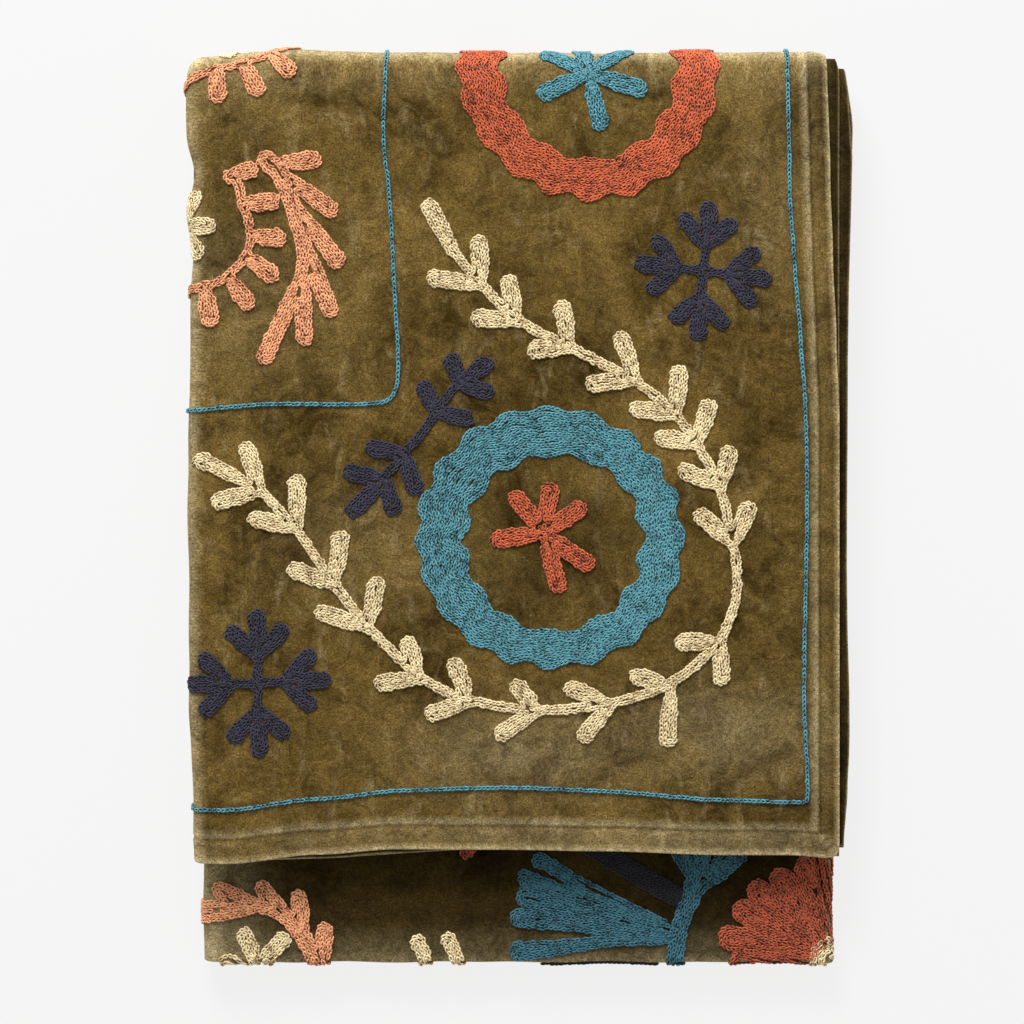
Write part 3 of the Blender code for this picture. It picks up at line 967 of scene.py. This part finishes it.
vine = embroider("cream_vine", fill(vine_shapes), cream, 6)


# Navy sprigs: two four-armed crosses whose arms end in three lobes, and a twig with lobes in pairs.
def cross(centre, reach, turn):
    """Four arms from a centre, each ending in three lobes."""
    shapes = [stem([centre, np.array(centre) + 0.2], 9.0)]
    for quarter in range(4):
        angle = math.radians(turn + 90 * quarter)
        ahead = np.array([math.cos(angle), math.sin(angle)])
        aside = np.array([-ahead[1], ahead[0]])
        fork = np.array(centre) + ahead * reach * 0.36
        shapes.append(stem([centre, fork + ahead * 2], 4.6))
        shapes.append(club(fork, np.array(centre) + ahead * reach, 8.6, 0.7))
        for way in (-0.40, 0.40):
            shapes.append(club(fork, fork + (ahead * 0.41 + aside * way) * reach, 8.2, 0.7))
    return shapes


TWIG = ((226, 190), (216, 203), (206, 214), (200, 224), (188, 240))
TWIG_LOBES = (
    (188, 237, 194, 252), (188, 237, 173, 249), (188, 237, 172, 232), (200, 223, 208, 238),
    (200, 223, 182, 219), (216, 202, 235, 206), (216, 202, 210, 182), (226, 189, 246, 194),
    (226, 189, 244, 172), (226, 189, 221, 172),
)
navy_shapes = cross((66, 293), 34.8, 7) + cross((289, 88.5), 36.5, 0) + [stem(TWIG, 4.6)]
navy_shapes += leaves(TWIG_LOBES, 8.6, 0.75)
sprigs = embroider("navy_sprigs", over_folds(fill(navy_shapes)), navy, 7)

# Coral sprays at the left fold: a heavy branch, and thin curved stems with leaves on one side, which
# stand round a cream flower.
BRANCH = ((286, 348), (279, 341), (272, 328), (268, 312), (266, 299), (267, 286))
BRANCH_LEAVES = (
    (267, 292, 287, 247), (267, 290, 266, 256), (264, 301, 252, 270), (268, 322, 248, 295),
    (272, 337, 250, 321), (279, 346, 258, 348), (273, 335, 287.5, 352),
)
LOWER_STEM = ((305, 342), (299, 336), (295, 323), (293, 311), (296, 300), (304, 291), (311, 286), (329, 283))
LOWER_LEAVES = (
    (304.5, 341, 290.5, 344), (296, 326, 278, 328), (293, 310, 276, 309), (295, 299, 280, 289),
    (304, 289, 293, 274), (316, 285, 313, 265),
)
UPPER_STEM = (
    (341, 383), (328, 387.5), (315, 393.5), (302, 396), (294, 397), (289, 399), (281, 404), (270, 413))
UPPER_LEAVES = ((308, 395, 307.5, 378), (295, 396, 286.5, 380), (281, 401, 270.5, 389))
coral_shapes = [stem(BRANCH, 8.8), stem(LOWER_STEM, 4.6), stem(UPPER_STEM, 4.6)]
coral_shapes += leaves(BRANCH_LEAVES + LOWER_LEAVES + UPPER_LEAVES, 8.8, 0.75)
sprays = embroider("coral_sprays", over_folds(fill(coral_shapes)), coral, 8)
side_flower = embroider("cream_side_flower", over_folds(fill(flower(
    (328.5, 315.5), ((0, 18), (62, 20), (-62, 19), (122, 19), (182, 18), (240, 19)), 8.8)
    + [club((302, 428), (303, 403), 8.4, 0.8)])), cream, 9)


# The panel behind shows part of the throw's middle: a rust rosette round a cream eye at the centre of
# the cloth, a teal stem with a fan of long petals, a navy leaf, a coral spray and cream petals.
def fan(base, tips, width, splay, clear=0.0):
    """Rows of petals that press against each other round one base, which they leave clear."""
    base = np.array(base, dtype=float)
    turns = [math.atan2(tip[1] - base[1], tip[0] - base[0]) for tip in tips]
    rows = []
    for tip, turn in zip(tips, turns):
        right = max([(turn + other) / 2 for other in turns if other < turn], default=turn - splay / 2)
        left = min([(turn + other) / 2 for other in turns if other > turn], default=turn + splay / 2)

        def wedge(spot, right=right, left=left):
            out = spot - base
            beside = np.minimum(
                out @ (-math.sin(right), math.cos(right)), out @ (math.sin(left), -math.cos(left)))
            return np.minimum(beside, np.linalg.norm(out, axis=-1) - clear)

        rows += fill([club(base, tip, width, 1.0)], cut=wedge)
    return rows


# The rosette, the fan, the navy leaf and the rust bud take the yarns in painted shade.
ROSETTE_MIDDLE = (645, 854)
ROSETTE_TIPS = (
    (655, 794), (642, 795), (628.5, 799), (614, 806.5), (601.5, 813.5), (593, 824.5), (585.5, 839),
    (591, 853), (592, 868))
rust_rosette = embroider("rust_rosette", fan(
    ROSETTE_MIDDLE, ROSETTE_TIPS, 12.8, math.radians(14), clear=11.0), rust_in_painted_shade, 10)
cream_eye = embroider("cream_eye", fill([stem([(641, 850.5), (641.2, 850.7)], 19.5)], 2.0), cream, 11)

# The outer petals of the teal fan bend away at their tips.
FAN_FOCUS = (583, 844)
FAN_TIPS = ((492, 804), (485, 809), (484, 819), (480.5, 830), (480.5, 840.5))
fan_rows = fan(FAN_FOCUS, FAN_TIPS, 10.4, math.radians(6), clear=20.0)
for row in fan_rows:
    ahead, beside = np.array(FAN_FOCUS) - row.mean(axis=0)
    rise = math.degrees(math.atan2(beside, ahead))
    if rise < 4.9:
        row[:, 1] += 6.5 * ease((540 - row[:, 0]) / 58)
    elif rise > 22:
        row[:, 1] -= 4.0 * ease((522 - row[:, 0]) / 36)
WEDGE_TIPS = ((563, 790), (572, 787), (582, 787), (592, 790), (598, 795))
wedge_shapes = [club((577, 813), tip, 12.5, 0.7) for tip in WEDGE_TIPS]
fan_rows += [even_steps([(565, 837), (510, 815)]), even_steps([(564, 842.6), (524, 839.6)])]
fan_rows += fill(wedge_shapes + [
    stem([(563, 858), (564, 842), (567, 831), (572, 819), (577, 810), (579, 802)], 8.8),
    club((571, 823), (579, 794), 12.5, 0.75)])
teal_fan = embroider("teal_fan", fan_rows, teal_in_painted_shade, 12)

navy_leaf = embroider("navy_leaf", fill([club((516, 792), (567.5, 822.5), 10.2, 0.95)], 2.1) + [
    even_steps([(496, 853.2), (552, 853.2)])], navy_in_painted_shade, 13)

BACK_SPRAY = ((318, 826.5), (330, 826), (342, 824), (357, 824.5), (368, 831), (376, 842), (384, 856))
BACK_LEAVES = (
    (349, 824, 328, 815), (366, 830, 351, 813), (375, 839, 372, 817), (385, 853, 387, 833),
    (346, 826, 318, 830))
back_shapes = [stem(BACK_SPRAY, 8.8)] + leaves(BACK_LEAVES, 8.8, 0.8)
back_spray = embroider("coral_back_spray", fill(back_shapes), coral, 14)

back_petals_shapes = [
    club((351, 855), (342.5, 836), 8.8, 0.7), club((351, 855), (367, 839), 8.8, 0.7),
    club((350, 858), (331, 851.5), 8.6, 0.65),
    club((441, 860), (433.5, 839.5), 7.4, 0.9), club((458, 860), (448.5, 838.5), 7.6, 0.9)]
back_petals = embroider("cream_back_petals", fill(back_petals_shapes), cream, 15)
rust_bud = embroider("rust_bud", fill([club((459, 788), (459, 801), 7.5, 0.9)]), rust_in_painted_shade, 16)

# Topstitching holds the hem: olive thread in short stitches, one row a little inside the edge.
TOPSTITCH = {"Pitch": 0.0032, "Stitch Length": 0.0025, "Thread Thickness": 0.00042}


def topstitch_tree():
    """Turns each line of a mesh into a row of short straight stitches with gaps between them."""
    tree, given = stitch_group("topstitch", TOPSTITCH, [("Thread", "Material")])
    bead = made(tree, "MeshUVSphere", {
        "Segments": 6, "Rings": 5, "Radius": times(tree, given["Thread Thickness"], 0.5)})
    stretch = maths(tree, given["Stitch Length"], given["Thread Thickness"], "DIVIDE")
    stitch = made(tree, "Transform", {"Geometry": bead, "Scale": vector(tree, stretch, 1.0, 1.0)})
    laid_down = set_along(
        tree, given["Geometry"], given["Pitch"], stitch, made(tree, "InputTangent"), {})
    finish_stitches(tree, laid_down, given["Thread"])
    return tree


thread, tree, shader = new_material("olive_thread")
place = tree.nodes.new("ShaderNodeTexCoord").outputs["Object"]
uneven = spread(tree, noise(tree, place, 260.0), 0.35, 0.65)
feed(tree, shader, {
    "Base Color": blend(tree, uneven, colour(116, 98, 62), colour(160, 142, 104)), "Roughness": 0.6})
seam_corner = (SEAM_AT * SIDE_HEM_SHARE * 1000, SEAM_AT * 1000)
seam_rows = [even_steps([seam_corner, end]) for end in ((seam_corner[0], 436), (332, seam_corner[1]))]
seam = stitch_rows("hem_topstitching", seam_rows, topstitch_tree(), {"Thread": thread})

# A plain pale floor, soft light from all round with a little more from the upper left, and a camera
# that looks straight down from two metres.
floor = new_object("floor", grid_mesh("floor", 1, 1, 3.0))
paper, tree, shader = new_material("pale_floor")
feed(tree, shader, {
    "Base Color": (0.08, 0.08, 0.08, 1.0), "Roughness": 0.9,
    "Emission Color": (1.0, 1.0, 1.0, 1.0), "Emission Strength": 0.82})
floor.data.materials.append(paper)

world = bpy.data.worlds.new("studio")
world.use_nodes = True
feed(world.node_tree, world.node_tree.nodes["Background"], {
    "Color": (1.0, 0.99, 0.97, 1.0), "Strength": 0.5})
bpy.context.scene.world = world

key = bpy.data.lights.new("key", "AREA")
key.energy = 62.0
key.size = 0.9
key_lamp = new_object("key", key)
key_lamp.location = (-0.5, 1.95, 1.25)
key_lamp.rotation_euler = (math.radians(-58), 0, math.radians(14))

CAMERA_PLACE = (-0.0037, -0.0027, 1.932)
FACE_DISTANCE = 1.9
FRAME_WIDTH = 0.508
camera = bpy.data.cameras.new("camera")
camera.sensor_width = 36.0
camera.lens = camera.sensor_width * FACE_DISTANCE / FRAME_WIDTH
camera.clip_end = 20.0
camera_object = new_object("camera", camera)
camera_object.location = CAMERA_PLACE
bpy.context.scene.camera = camera_object
bpy.context.scene.view_settings.view_transform = "Standard"
